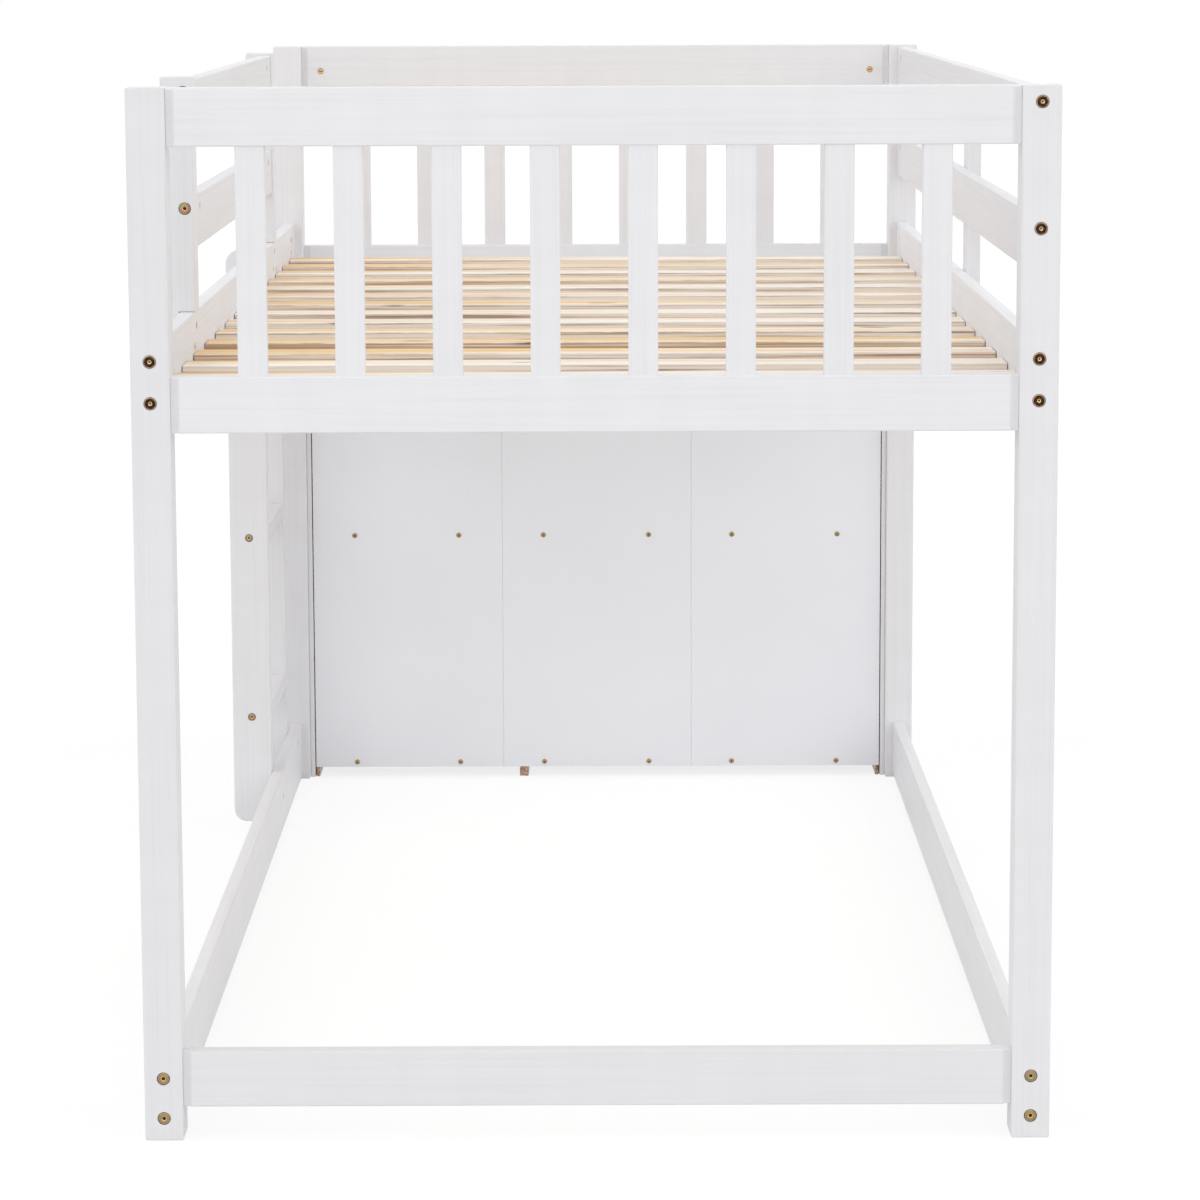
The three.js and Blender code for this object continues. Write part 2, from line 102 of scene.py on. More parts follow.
# Fixed ends, guard and deck
TENON = 1.5 * MM  # how far a baluster runs into the rails above and below it
BALUSTERS = 8  # at each end
# The shallow cove before each end of an end rail: distance from its crest and depth, in mm
END_RAIL_COVE = ((0, 0), (0.9, 0.15), (1.8, 0.6), (2.6, 1.2), (3.4, 1.7), (4.6, 2.2), (6.5, 2.55),
                 (10.5, 2.8))
JOINT_GAP = 0.2 * MM
SLAT_COUNT = 14
SLAT_WIDTH = 57.5 * MM
SLAT_THICKNESS = 18 * MM
SLAT_FROM_END = 96.5 * MM
SLAT_LENGTH = 997 * MM
LEDGER_SIDE = 20 * MM
STRINGER_END_RADIUS = 20 * MM
STRINGER_END_STEPS = 12  # of each rounded corner
LADDER_TREADS = (1, 2, 3)

# Tones of painted pine, from 0, its grey, to 1, its white. The tone given to each kind of piece is
# painted light: whiter paint for pieces in the deck's shade and at the far end, greyer paint for
# those the lamps light well
NEAR_POST_TONES = {"post_near_left": 0.45, "post_near_right": 0.65}
FAR_POST_TONE = 1.0
LONG_RAIL_TONE = 0.9
GUARD_RAIL_TONE = 0.1
GUARD_POST_TONE = 0.45
STRINGER_TONE = 1.0
END_TONES = {"near": (0.95, 1.0), "far": (1.0, 1.0)}  # of top rail and balusters, of deck rail
NEAR_LOW_RAIL_TONE = 0.55
BALUSTER_TONE_SPREAD = 0.12
BALUSTER_SEED = 5
OTHER_TONES = (0.35, 0.65)  # the range from which every other piece draws its own

# Tones of bare pine, which are its share of golden heartwood; each slat's, from the near end
STRIP_TONE = 0.3  # of ledgers and runners
SLAT_GOLD = (0.12, 0.10, 0.62, 0.85, 0.40, 0.12, 0.16, 0.60, 0.42, 0.14, 0.55, 0.12, 0.58, 0.18)
SLAT_EDGE_TONES = (-0.2, 0.3)  # added to that at a slat's near edge, and at its far edge
SLAT_SHADE_DRIFT = 0.6  # painted shade: how much more golden, and so darker, the slats' left ends are than their right ends

# Cabinet and drawers
PANEL = 15 * MM
REBATE = 7.4 * MM  # the back lies in rebates of this width in the side panels
SEAM_WIDTH = 1.8 * MM  # of the open seam between the back's side edge and the rebate's wall
SEAM_DEPTH = 6 * MM  # how far it runs on past the back
BACK_THICKNESS = 3 * MM
BACK_FIT = 0.3 * MM
BACK_BOARDS = 3
BACK_GROOVE_WIDTH = 1.1 * MM
BACK_GROOVE_DEPTH = 1.2 * MM
DRAWERS = 4
DRAWER_FRONT_THICKNESS = 16 * MM
BOX_SIDE = 15 * MM
BOX_END = 12 * MM
BOX_FLOOR = 5 * MM
BOX_FLOOR_RISE = 8 * MM
RUNNER_RISE = 50 * MM
RUNNER_HEIGHT = 14 * MM
RUNNER_REACH = 10.5 * MM
RUNNER_REAR_GAP = 0.8 * MM  # from the divider's rear edge
RUNNER_FRONT_GAP = 4 * MM  # behind the drawer's front
GROOVE_DEPTH = 7.2 * MM
GROOVE_BELOW = 0.7 * MM
GROOVE_ABOVE = 0.3 * MM
KNOB_FROM_EDGE = 150 * MM
KNOB_POINTS = 40
# A knob's outline: radius, and distance from the front's face, in mm
KNOB_OUTLINE = ((8.5, -0.2), (8.6, 0.4), (8.0, 2.0), (7.4, 5.0), (7.5, 7.6), (9.0, 9.8),
                (12.4, 11.6), (14.8, 13.4), (15.8, 15.4), (16.0, 17.2), (15.3, 19.2),
                (13.4, 21.4), (10.0, 23.0), (5.5, 23.8), (1.5, 24.0))

# Fittings: the width of their heads, and the seats cut for them
BOLT_HEAD = 15.0 * MM
SMALL_BOLT_HEAD = 12.0 * MM
NUT_FACE = 10.0 * MM
DOME_SCREW_HEAD = 8.8 * MM
DOME_SCREW_RISE = 2.0 * MM
RECESS_HALF_WIDTH = 0.7 * MM  # of a nut's slot and of a screw's cross
BOLT_ROOM = 0.3 * MM  # round a head, in its seat
BOLT_SEAT_DEPTH = 2.2 * MM
NUT_ROOM = 0.2 * MM
NUT_SEAT_DEPTH = 2.0 * MM
CUTTER_RISE = 1 * MM  # how far the cutter of a seat stands out of the face
CUTTER_POINTS = 32
RING_POINTS = 24

# Where fittings sit; a rise is measured from the lower edge of the rail
DECK_BOLT_RISES = (22 * MM, 70 * MM)  # in the posts, into the long rails
END_BOLT_RISES = {"top": 26 * MM, "deck": 33 * MM, "low": 34 * MM}  # into the end rails
END_NUT_FROM_END = 31 * MM
GUARD_BOLT_RISE = 52 * MM
GUARD_NUT_RISE = 50 * MM
NUT_FROM_END = 54 * MM  # from the end of a long rail or a guard rail
DECK_NUT_RISE = 67 * MM
UPRIGHT_NUT_RISE = 52 * MM
UPRIGHT_BOLT_OFFSET = 7 * MM  # of the lowest bolt, above the middle of the deck rail
# Nuts in the left rails: what each holds, its place along the rail from the middle of what it
# holds, and its rise, in mm
LEFT_DECK_NUTS = (
    ("guard_left_post_1", 10, 71), ("guard_left_post_1", -13, 46),
    ("guard_left_post_2", 7, 75), ("guard_left_post_2", -9, 48),
    ("ladder_stringer_near", 3, 44.5),
    ("ladder_stringer_far", -2, 69), ("ladder_stringer_far", 6, 47),
)
LEFT_LOW_NUTS = (("ladder_stringer_near", -4, 49), ("ladder_stringer_far", -4, 73))
BACK_SCREWS = (-407, -232, -90, 87, 227, 404)  # in each row, in mm from the back's middle


def setup_camera():
    data = bpy.data.cameras.new("camera")
    data.sensor_width = CAMERA_SENSOR
    data.lens = CAMERA_LENS
    data.shift_y = CAMERA_SHIFT_UP
    camera = bpy.data.objects.new("camera", data)
    camera.location = CAMERA_PLACE
    tilt = Matrix.Rotation(math.radians(CAMERA_TILT), 3, "X")
    roll = Matrix.Rotation(math.radians(CAMERA_ROLL), 3, "Z")
    camera.rotation_euler = (tilt @ roll).to_euler()
    bpy.context.scene.collection.objects.link(camera)
    bpy.context.scene.camera = camera


# Nodes of a material

def neutral(level):
    return (level, level, level, 1)


def add_node(tree, kind, inputs=None, **settings):
    """A shader node; an input is another node's socket or a plain value."""
    node = tree.nodes.new(kind)
    for key, value in settings.items():
        setattr(node, key, value)
    for key, value in (inputs or {}).items():
        if isinstance(value, bpy.types.NodeSocket):
            tree.links.new(value, node.inputs[key])
        else:
            node.inputs[key].default_value = value
    return node


def seen_directly(tree):
    """1 for rays from the camera, and for those that metal or glass sends on."""
    rays = add_node(tree, "ShaderNodeLightPath")
    mirrored = add_node(tree, "ShaderNodeMath", {
        0: rays.outputs["Is Glossy Ray"],
        1: rays.outputs["Is Transmission Ray"],
    }, operation="MAXIMUM")
    return add_node(tree, "ShaderNodeMath", {
        0: rays.outputs["Is Camera Ray"],
        1: mirrored.outputs["Value"],
    }, operation="MAXIMUM").outputs["Value"]


def setup_world():
    world = bpy.data.worlds.new("studio")
    world.use_nodes = True
    bpy.context.scene.world = world
    tree = world.node_tree
    tree.nodes.clear()
    grey = add_node(tree, "ShaderNodeBackground", {"Strength": AMBIENT, "Color": neutral(1)})
    white = add_node(tree, "ShaderNodeBackground", {"Strength": 1.0, "Color": neutral(1)})
    mix = add_node(tree, "ShaderNodeMixShader", {
        0: seen_directly(tree), 1: grey.outputs[0], 2: white.outputs[0],
    })
    add_node(tree, "ShaderNodeOutputWorld", {"Surface": mix.outputs[0]})


def setup_lamps():
    for name, (side, height, width, share) in LAMPS.items():
        data = bpy.data.lights.new(name, "SUN")
        data.angle = math.radians(width)
        data.energy = math.pi * share
        lamp = bpy.data.objects.new(name, data)
        a, e = math.radians(side), math.radians(height)
        towards = Vector((math.sin(a) * math.cos(e), -math.cos(a) * math.cos(e), math.sin(e)))
        lamp.rotation_euler = towards.to_track_quat("Z", "Y").to_euler()
        lamp.location = towards * LAMP_DISTANCE
        bpy.context.scene.collection.objects.link(lamp)


def setup_floor():
    material = bpy.data.materials.new("studio_floor")
    material.use_nodes = True
    tree = material.node_tree
    tree.nodes.clear()
    lit = add_node(tree, "ShaderNodeBsdfDiffuse", {"Color": neutral(FLOOR_COLOUR)})
    faint = add_node(tree, "ShaderNodeBsdfDiffuse", {"Color": neutral(FLOOR_SHADOW_SHARE)})
    glow = add_node(tree, "ShaderNodeEmission", {"Strength": FLOOR_WHITE})
    shown = add_node(tree, "ShaderNodeAddShader", {0: faint.outputs[0], 1: glow.outputs[0]})
    mix = add_node(tree, "ShaderNodeMixShader", {
        0: seen_directly(tree), 1: lit.outputs[0], 2: shown.outputs[0],
    })
    add_node(tree, "ShaderNodeOutputMaterial", {"Surface": mix.outputs[0]})

    mesh = bpy.data.meshes.new("studio_floor")
    h = FLOOR_SIZE / 2
    mesh.from_pydata([(-h, -h, 0), (h, -h, 0), (h, h, 0), (-h, h, 0)], [], [(0, 1, 2, 3)])
    mesh.materials.append(material)
    floor = bpy.data.objects.new("studio_floor", mesh)
    bpy.context.scene.collection.objects.link(floor)


bpy.context.scene.view_settings.view_transform = "Standard"
setup_camera()
setup_world()
setup_lamps()
setup_floor()


# Materials

def colour(code):
    """A linear colour from its six-digit screen code."""
    values = [int(code[i:i + 2], 16) / 255 for i in (0, 2, 4)]
    return tuple(v / 12.92 if v <= 0.04045 else ((v + 0.055) / 1.055) ** 2.4 for v in values) + (1,)


def attribute(tree, name, output="Fac"):
    return add_node(tree, "ShaderNodeAttribute", attribute_name=name).outputs[output]


def stretched(tree, place, scale):
    node = add_node(tree, "ShaderNodeVectorMath", {0: place, 1: scale}, operation="MULTIPLY")
    return node.outputs[0]


def noise(tree, place, scale, detail=2.0, roughness=0.5):
    """Noise of so many lumps a metre in each direction."""
    return add_node(tree, "ShaderNodeTexNoise", {
        "Vector": stretched(tree, place, scale), "Scale": 1.0, "Detail": detail,
        "Roughness": roughness,
    }).outputs[0]


def wood_noise(tree, scale, detail=2.0, roughness=0.5):
    """Noise in the wood of a piece: its scale is along the grain, across it and through it."""
    return noise(tree, attribute(tree, "wood", "Vector"), scale, detail, roughness)


def spread(tree, value, low, high, to_low=0.0, to_high=1.0):
    """A value taken from one range to another, and kept within it."""
    return add_node(tree, "ShaderNodeMapRange", {
        0: value, 1: low, 2: high, 3: to_low, 4: to_high,
    }).outputs[0]


def maths(tree, operation, first, second):
    return add_node(tree, "ShaderNodeMath", {0: first, 1: second}, operation=operation).outputs[0]


def mixed(tree, share, first, second):
    node = add_node(tree, "ShaderNodeMix", {0: share, 6: first, 7: second}, data_type="RGBA")
    return node.outputs[2]


def make_material(name, look):
    """A material from a function of its node tree.

    The function gives its colour, roughness, relief, the depth of the relief, and 1 for metal.
    """
    material = bpy.data.materials.new(name)
    material.use_nodes = True
    tree = material.node_tree
    tree.nodes.clear()
    base, roughness, relief, depth, metal = look(tree)
    bump = add_node(tree, "ShaderNodeBump", {
        "Strength": 1.0, "Distance": depth, "Height": relief,
    })
    shader = add_node(tree, "ShaderNodeBsdfPrincipled", {
        "Base Color": base, "Roughness": roughness, "Metallic": metal,
        "Specular IOR Level": GLOSS, "Normal": bump.outputs[0],
    })
    add_node(tree, "ShaderNodeOutputMaterial", {"Surface": shader.outputs[0]})
    return material


def edge_wear(tree, most):
    """Patchy wear on the rounded edges only."""
    patches = spread(tree, wood_noise(tree, (30, 60, 60), 3), 0.42, 0.68, 0.15 * most, most)
    return maths(tree, "MULTIPLY", attribute(tree, "wear"), patches)


def painted(grey, white):
    """Satin paint on pine: its fine grain lines show, and it thins out at the edges."""
    def look(tree):
        lines = wood_noise(tree, (3, 240, 240), 3, 0.6)
        broad = wood_noise(tree, (5, 18, 18), 2)
        ripple = wood_noise(tree, (24, 1.5, 1.5), 1)
        # Each piece's tone between grey and white: partly drawn by chance, partly painted light set
        # for each kind of piece
        tone = mixed(tree, attribute(tree, "tone"), colour(grey), colour(white))
        uneven = mixed(tree, spread(tree, broad, 0.3, 0.7, 0, 0.12), tone, colour("D9D9DB"))
        rippled = mixed(tree, spread(tree, ripple, 0.35, 0.65, 0, 0.07), uneven, colour("CFCECE"))
        lined = mixed(tree, spread(tree, lines, 0.45, 0.70, 0, 0.12), rippled, colour("C9C8C7"))
        worn = mixed(tree, edge_wear(tree, 0.14), lined, colour("CDC8C0"))
        roughness = spread(tree, lines, 0.3, 0.7, 0.42, 0.56)
        return worn, roughness, lines, 0.10 * MM, 0.0
    return look


def white_panel(tree):
    """Laminated board: an even white with a fine orange peel."""
    peel = wood_noise(tree, (420, 420, 420), 2)
    broad = wood_noise(tree, (6, 6, 6), 3)
    tone = mixed(tree, spread(tree, broad, 0.3, 0.7), colour("E9E9EC"), colour("ECECEF"))
    worn = mixed(tree, edge_wear(tree, 0.6), tone, colour("C0A68E"))
    return worn, spread(tree, peel, 0.3, 0.7, 0.36, 0.46), peel, 0.03 * MM, 0.0


def white_hardboard(tree):
    """Thin white-faced board, matt, with a hint of its fibres. Its white is written brighter than the
    paint's: painted light that lifts the back out of the deck's shade.
    """
    fibres = wood_noise(tree, (700, 500, 500), 3)
    broad = wood_noise(tree, (4, 4, 4), 3)
    tone = mixed(tree, spread(tree, broad, 0.3, 0.7), colour("F0F2F7"), colour("F3F5FA"))
    worn = mixed(tree, spread(tree, fibres, 0.5, 0.8, 0, 0.2), tone, colour("D9DADD"))
    return worn, spread(tree, fibres, 0.3, 0.7, 0.50, 0.62), fibres, 0.04 * MM, 0.0


def knots(tree):
    """1 in the heart of a knot, 0 away from it; small long ovals in a few of the cells only."""
    cells = add_node(tree, "ShaderNodeTexVoronoi", {
        "Vector": stretched(tree, attribute(tree, "wood", "Vector"), (7, 40, 40)),
        "Scale": 1.0, "Randomness": 1.0,
    })
    chance = add_node(tree, "ShaderNodeSeparateColor", {0: cells.outputs["Color"]}).outputs[0]
    ovals = spread(tree, cells.outputs["Distance"], 0.10, 0.19, 1.0, 0.0)
    return maths(tree, "MULTIPLY", ovals, spread(tree, chance, 0.86, 0.88))


def pine(pale, gold, late, knot, streaked):
    """Bare pine of four colours: sapwood, heartwood, late growth rings and knots.

    The last value is how strongly its fibres streak it.
    """
    def look(tree):
        rings = add_node(tree, "ShaderNodeTexWave", {
            "Vector": stretched(tree, attribute(tree, "wood", "Vector"), (0.12, 1, 1)),
            "Scale": 95.0, "Distortion": 4.5, "Detail": 2.0, "Detail Scale": 0.35,
        }, wave_type="RINGS", rings_direction="X", wave_profile="SAW").outputs["Fac"]
        fibres = wood_noise(tree, (3, 400, 400), 4, 0.6)
        bands = wood_noise(tree, (1.5, 75, 75), 2)
        heart = maths(tree, "ADD", attribute(tree, "tone"),
                      spread(tree, bands, 0.32, 0.68, -0.5, 0.5))
        base = mixed(tree, spread(tree, heart, 0.15, 0.85), colour(pale), colour(gold))
        ring_share = maths(tree, "MULTIPLY", spread(tree, rings, 0.45, 1.0, 0.0, 0.42),
                           spread(tree, heart, 0.0, 0.8, 0.45, 1.0))
        ringed = mixed(tree, ring_share, base, colour(late))
        fibred = mixed(tree, spread(tree, fibres, 0.51, 0.64, 0, streaked), ringed, colour(late))
        bleached = mixed(tree, spread(tree, fibres, 0.47, 0.36, 0, streaked), fibred, colour(pale))
        knotted = mixed(tree, knots(tree), bleached, colour(knot))
        worn = mixed(tree, edge_wear(tree, 0.9), knotted, colour("FFFAF2"))
        relief = maths(tree, "ADD", fibres, maths(tree, "MULTIPLY", rings, 0.5))
        return worn, spread(tree, fibres, 0.3, 0.7, 0.55, 0.70), relief, 0.12 * MM, 0.0
    return look


def raw_board(tree):
    """The bare edge of particle board: brown chips of every tone, pressed together."""
    chips = add_node(tree, "ShaderNodeTexVoronoi", {
        "Vector": stretched(tree, attribute(tree, "wood", "Vector"), (280, 520, 520)),
        "Scale": 1.0,
    })
    chip_tone = add_node(tree, "ShaderNodeSeparateColor", {0: chips.outputs["Color"]}).outputs[0]
    base = mixed(tree, chip_tone, colour("A68068"), colour("E4C6AC"))
    gaps = spread(tree, chips.outputs["Distance"], 0.45, 0.8, 0, 0.7)
    return (mixed(tree, gaps, base, colour("6A4A38")), spread(tree, chip_tone, 0, 1, 0.75, 0.9),
            chips.outputs["Distance"], 0.25 * MM, 0.0)


def plated(low, high, rough_low, rough_high):
    """Zinc plate, its colour drifting between two tones, with fine scratches."""
    def look(tree):
        place = add_node(tree, "ShaderNodeTexCoord").outputs["Object"]
        clouds = noise(tree, place, (350, 350, 350), 3)
        scratches = noise(tree, place, (2500, 300, 2500), 2)
        base = mixed(tree, spread(tree, clouds, 0.35, 0.65), (*low, 1), (*high, 1))
        roughness = spread(tree, scratches, 0.3, 0.7, rough_low, rough_high)
        return base, roughness, scratches, 0.01 * MM, 1.0
    return look


def rainbow_plated(tree):
    """Yellow zinc plate, with patches of rose, olive and green that differ from bolt to bolt."""
    place = add_node(tree, "ShaderNodeTexCoord").outputs["Object"]
    own_place = add_node(tree, "ShaderNodeVectorMath", {
        0: place, 1: add_node(tree, "ShaderNodeObjectInfo").outputs["Random"],
    }, operation="ADD").outputs[0]
    clouds = noise(tree, own_place, (150, 150, 150), 2)
    scratches = noise(tree, place, (2500, 300, 2500), 2)
    rose, olive, green = (0.40, 0.20, 0.16, 1), (0.36, 0.27, 0.07, 1), (0.20, 0.26, 0.17, 1)
    warm = mixed(tree, spread(tree, clouds, 0.40, 0.50), rose, olive)
    base = mixed(tree, spread(tree, clouds, 0.50, 0.60), warm, green)
    return base, spread(tree, scratches, 0.3, 0.7, 0.24, 0.36), scratches, 0.01 * MM, 1.0


WHITE_PAINT = make_material("white_paint_on_pine", painted("E3E3E6", "ECECEF"))
# A greyer white for the coves before the end rails' ends: painted shade
SHADED_COVE_PAINT = make_material("shaded_white_paint_on_routed_pine", painted("E1E1E4", "E6E6E9"))
WHITE_PANEL = make_material("white_laminated_board", white_panel)
WHITE_HARDBOARD = make_material("white_hardboard", white_hardboard)
SLAT_PINE = make_material("bare_pine", pine("FFFBF3", "F1CC90", "D49C5E", "5E3A26", 0.35))
# The slats' edges and ends take a darker, greyer copy of their pine: painted shade between the slats,
# with the heavier streaks of sawn wood
SAWN_AND_SHADED_PINE = make_material("sawn_pine_with_painted_shade", pine("F1E5D7", "D0B190", "84604A", "54382A", 0.70))
DRAWER_PINE = make_material("drawer_pine", pine("F3E3C8", "E8CCA0", "CFA673", "8F6540", 0.25))
RAW_BOARD = make_material("particle_board", raw_board)
# The plain bolts' faces take the near-black zinc as a painted dark reflection. Sockets, slots and the
# edges of the yellow heads take it as painted shade. The gold zinc is the nuts' own face colour, and
# a painted glint on socket rims and near the tops of domes
ZINC = (
    make_material("zinc_rim", plated((0.32, 0.17, 0.13), (0.55, 0.38, 0.22), 0.26, 0.38)),
    make_material("zinc_painted_shade_and_reflection", plated((0.012, 0.008, 0.006), (0.07, 0.04, 0.028), 0.30, 0.42)),
    make_material("zinc_gold_and_painted_glint", plated((0.50, 0.30, 0.11), (0.74, 0.56, 0.28), 0.24, 0.34)),
    make_material("zinc_yellow", rainbow_plated),
)
RIM, SHADE_AND_REFLECTION, GOLD_AND_GLINT, YELLOW = range(len(ZINC))


# Solids in mesh code

def block(low, high):
    bm = bmesh.new()
    low, high = Vector(low), Vector(high)
    place = Matrix.Translation((low + high) / 2) @ Matrix.Diagonal((*(high - low), 1))
    bmesh.ops.create_cube(bm, size=1, matrix=place)
    return bm


def prism(points, low, high, axis):
    """An outline in the two other axes, pushed along one axis from low to high."""
    others = [a for a in (X, Y, Z) if a != axis]
    bm = bmesh.new()
    loops = []
    for level in (low, high):
        loop = []
        for point in points:
            place = [level] * 3
            place[others[0]], place[others[1]] = point
            loop.append(bm.verts.new(place))
        loops.append(loop)
        bm.faces.new(loop)
    for i in range(len(points)):
        j = (i + 1) % len(points)
        bm.faces.new((loops[0][i], loops[0][j], loops[1][j], loops[1][i]))
    bmesh.ops.recalc_face_normals(bm, faces=bm.faces)
    return bm


def runs_along(edge, axis):
    run = edge.verts[1].co - edge.verts[0].co
    return abs(run[axis]) > ALONG_SHARE * run.length


def round_edges(bm, radius, along=None, steps=ROUND_STEPS):
    """Rounds the outward corners of a solid, all of them or only those along one axis."""
    bm.normal_update()
    rounded = bm.faces.layers.int.get("rounded") or bm.faces.layers.int.new("rounded")
    chosen = [
        edge for edge in bm.edges
        if edge.is_convex and edge.calc_face_angle(0) > math.radians(CORNER_ANGLE)
        and (along is None or runs_along(edge, along))
    ]
    made = bmesh.ops.bevel(bm, geom=chosen, offset=radius, segments=steps, profile=0.5,
                           affect="EDGES", clamp_overlap=True)
    for face in made["faces"]:
        face[rounded] = 1
    return bm


def mark_rounded(bm):
    """Marks the points inside the rounded edges, where wear shows."""
    rounded = bm.faces.layers.int.get("rounded")
    wear = bm.verts.layers.float.new("wear")
    for vert in bm.verts:
        inside = rounded and all(face[rounded] for face in vert.link_faces)
        vert[wear] = 1.0 if inside else 0.0


def drill(piece, holes):
    """Cuts the shallow round seats of bolt heads and nuts into a piece."""
    bm = bmesh.new()
    for point, outward, radius, depth in holes:
        turn = Vector(outward).to_track_quat("Z", "Y").to_matrix().to_4x4()
        centre = Vector(point) - Vector(outward) * (depth - CUTTER_RISE) / 2
        bmesh.ops.create_cone(bm, cap_ends=True, segments=CUTTER_POINTS,
                              radius1=radius, radius2=radius, depth=depth + CUTTER_RISE,
                              matrix=Matrix.Translation(centre) @ turn)
    mesh = bpy.data.meshes.new("cutter")
    bm.to_mesh(mesh)
    bm.free()
    cutter = bpy.data.objects.new("cutter", mesh)
    bpy.context.scene.collection.objects.link(cutter)
    cut = piece.modifiers.new("holes", "BOOLEAN")
    cut.operation, cut.solver, cut.object = "DIFFERENCE", "EXACT", cutter
    graph = bpy.context.evaluated_depsgraph_get()
    whole = piece.data
    drilled = bpy.data.meshes.new_from_object(piece.evaluated_get(graph))
    piece.modifiers.clear()
    piece.data = drilled
    bpy.data.meshes.remove(whole)
    bpy.data.objects.remove(cutter)
    bpy.data.meshes.remove(mesh)


def mark_wood(mesh, name, grain, tones, drift):
    """Gives each point of a mesh its place in the wood and its tone.

    The place is measured in metres from a pith of the piece's own. The tone runs from the first
    to the second across the piece, and falls by the drift along it.
    """
    others = [a for a in (X, Y, Z) if a != grain]
    corners = [[f(v.co[a] for v in mesh.vertices) for a in (X, Y, Z)] for f in (min, max)]
    centre = [(a + b) / 2 for a, b in zip(*corners)]
    chance = random.Random(zlib.crc32(name.encode()))
    pith = (chance.uniform(0, 40), chance.uniform(-0.04, 0.04), chance.uniform(0.015, 0.07))
    mesh.attributes.new("wood", "FLOAT_VECTOR", "POINT")
    mesh.attributes.new("tone", "FLOAT", "POINT")
    wood, tone = mesh.attributes["wood"], mesh.attributes["tone"]
    first, second = tones or [chance.uniform(*OTHER_TONES)] * 2
    width = max(corners[1][others[0]] - corners[0][others[0]], 1e-6)
    length = max(corners[1][grain] - corners[0][grain], 1e-6)
    for i, vertex in enumerate(mesh.vertices):
        wood.data[i].vector = [vertex.co[a] - centre[a] + off
                               for a, off in zip((grain, *others), pith)]
        share = (vertex.co[others[0]] - corners[0][others[0]]) / width
        fallen = drift * (vertex.co[grain] - centre[grain]) / length
        tone.data[i].value = first + (second - first) * share - fallen


def shade_smooth(mesh, sharp_angle):
    mesh.polygons.foreach_set("use_smooth", [True] * len(mesh.polygons))
    mesh.set_sharp_from_angle(angle=math.radians(sharp_angle))


def add_piece(name, bm, material, grain, replaces=(), body="frame", tones=None, drift=0.0,
              raw=None, raw_material=RAW_BOARD):
    """A finished piece of the bed; raw says which of its faces show its second material."""
    mark_rounded(bm)
    mesh = bpy.data.meshes.new(name)
    bm.to_mesh(mesh)
    bm.free()
    piece = bpy.data.objects.new(name, mesh)
    bpy.context.scene.collection.objects.link(piece)
    if name in seats:
        drill(piece, seats[name])
        piece.data.name = name
    mark_wood(piece.data, name, grain, tones, drift)
    piece.data.materials.clear()
    piece.data.materials.append(material)
    if raw:
        piece.data.materials.append(raw_material)
        for face in piece.data.polygons:
            face.material_index = int(raw(face))
    shade_smooth(piece.data, SHARP_ANGLE)
    piece.modifiers.new("weighted_normals", "WEIGHTED_NORMAL").keep_sharp = True
    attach(piece, body)
    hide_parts(*replaces)
    return piece


def dressed_name(node):
    return "dressed_" + node


def board(name, low, high, material, grain, edge, end=END_ROUND, **settings):
    """A board along its grain, its long edges and the edges of its ends each with a radius."""
    bm = round_edges(block(low, high), edge, along=grain)
    if end:
        round_edges(bm, end, steps=FINE_ROUND_STEPS)
    add_piece(name, bm, material, grain, **settings)


def dress_board(node, grain, edge, **settings):
    """A painted board in the place and size of a CAD node."""
    board(dressed_name(node), *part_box(node), WHITE_PAINT, grain, edge, replaces=(node,), **settings)


# Fittings: where each bolt, nut and screw sits, so that its host piece gets a seat for it

def ring(radius, height, shape=None):
    """Points round the Z axis at one height: a circle, or a shape that gives its own radius."""
    points = []
    for i in range(RING_POINTS):
        a = 2 * math.pi * i / RING_POINTS
        r = shape(a, radius) if shape else radius
        points.append((r * math.cos(a), r * math.sin(a), height))
    return points


def hexagon(a, flat):
    sixth = math.pi / 3
    return flat / math.cos((a + sixth / 2) % sixth - sixth / 2)


def slot_shape(a, half_length):
    along, across = abs(math.cos(a)) + 1e-9, abs(math.sin(a)) + 1e-9
    return min(half_length / along, RECESS_HALF_WIDTH / across)


def cross_shape(a, half_length):
    return max(slot_shape(a, half_length), slot_shape(a + math.pi / 2, half_length))


def turned_mesh(name, rings, materials):
    """A closed mesh through rings of points, each band of its own material, the last its end."""
    bm = bmesh.new()
    loops = [[bm.verts.new(p) for p in points] for points in rings]
    for a, b, index in zip(loops, loops[1:], materials):
        for i in range(RING_POINTS):
            j = (i + 1) % RING_POINTS
            bm.faces.new((a[i], a[j], b[j], b[i])).material_index = index
    bm.faces.new(list(reversed(loops[0])))
    bm.faces.new(loops[-1]).material_index = materials[-1]
    mesh = bpy.data.meshes.new(name)
    bm.to_mesh(mesh)
    bm.free()
    shade_smooth(mesh, METAL_SHARP_ANGLE)
    for material in ZINC:
        mesh.materials.append(material)
    return mesh


def bolt_mesh(name, head, edge, face, socket):
    """A flat bolt head, let in flush, with a bevelled rim and a hex socket.

    Its edge and face each take one of the zinc materials; the socket's size is a share of the head's.
    The socket's rim has a painted glint, and its walls and floor have painted shade.
    """
    r = head / 2
    return turned_mesh(name, [
        ring(r, -2.1 * MM), ring(r, -1.1 * MM), ring(r * 0.97, -0.75 * MM),
        ring(r * 0.92, -0.48 * MM), ring(r * 0.82, -0.32 * MM), ring(r * 0.79, -0.30 * MM),
        ring(r * 0.50, -0.42 * MM), ring(r * (socket + 0.13), -0.30 * MM, hexagon),
        ring(r * socket, -0.60 * MM, hexagon), ring(r * (socket - 0.01), -1.9 * MM, hexagon),
    ], (edge, edge, edge, RIM, face, face, face, GOLD_AND_GLINT, SHADE_AND_REFLECTION, SHADE_AND_REFLECTION))


